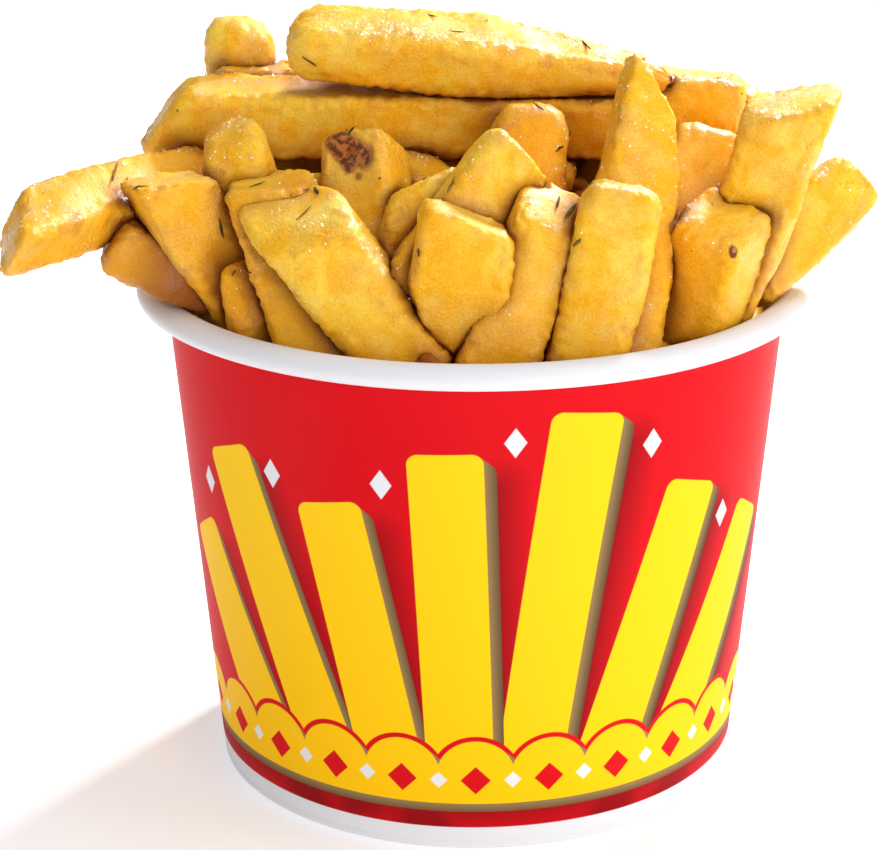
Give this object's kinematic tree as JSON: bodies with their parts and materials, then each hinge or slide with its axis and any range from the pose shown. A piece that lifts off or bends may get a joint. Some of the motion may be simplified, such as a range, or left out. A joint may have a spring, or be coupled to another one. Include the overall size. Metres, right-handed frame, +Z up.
{
  "type": "french fries in a paper bucket",
  "caption": "Thick-cut french fries heaped in a round red paper bucket with a rolled white rim, a takeaway serving that stands on a table.",
  "frame": {"origin": "on the surface the bucket stands on, under the middle of the whole object's box; the bucket's own axis is 4.2 mm towards +X, because the heap of fries leans out further towards -X", "axes": "+Z up, +X to the right and -Y towards the viewer, seen from the front with the fries that lie across the top running left to right"},
  "size_m": [0.1399, 0.115, 0.1303],
  "materials": {
    "printed_paperboard": "satin",
    "plain_paperboard": "matte",
    "fried_potato": "satin"
  },
  "bodies": {
    "root": {"bucket_wall": "printed_paperboard", "bucket_base": "plain_paperboard", "fries": "fried_potato"}
  },
  "joints": []
}
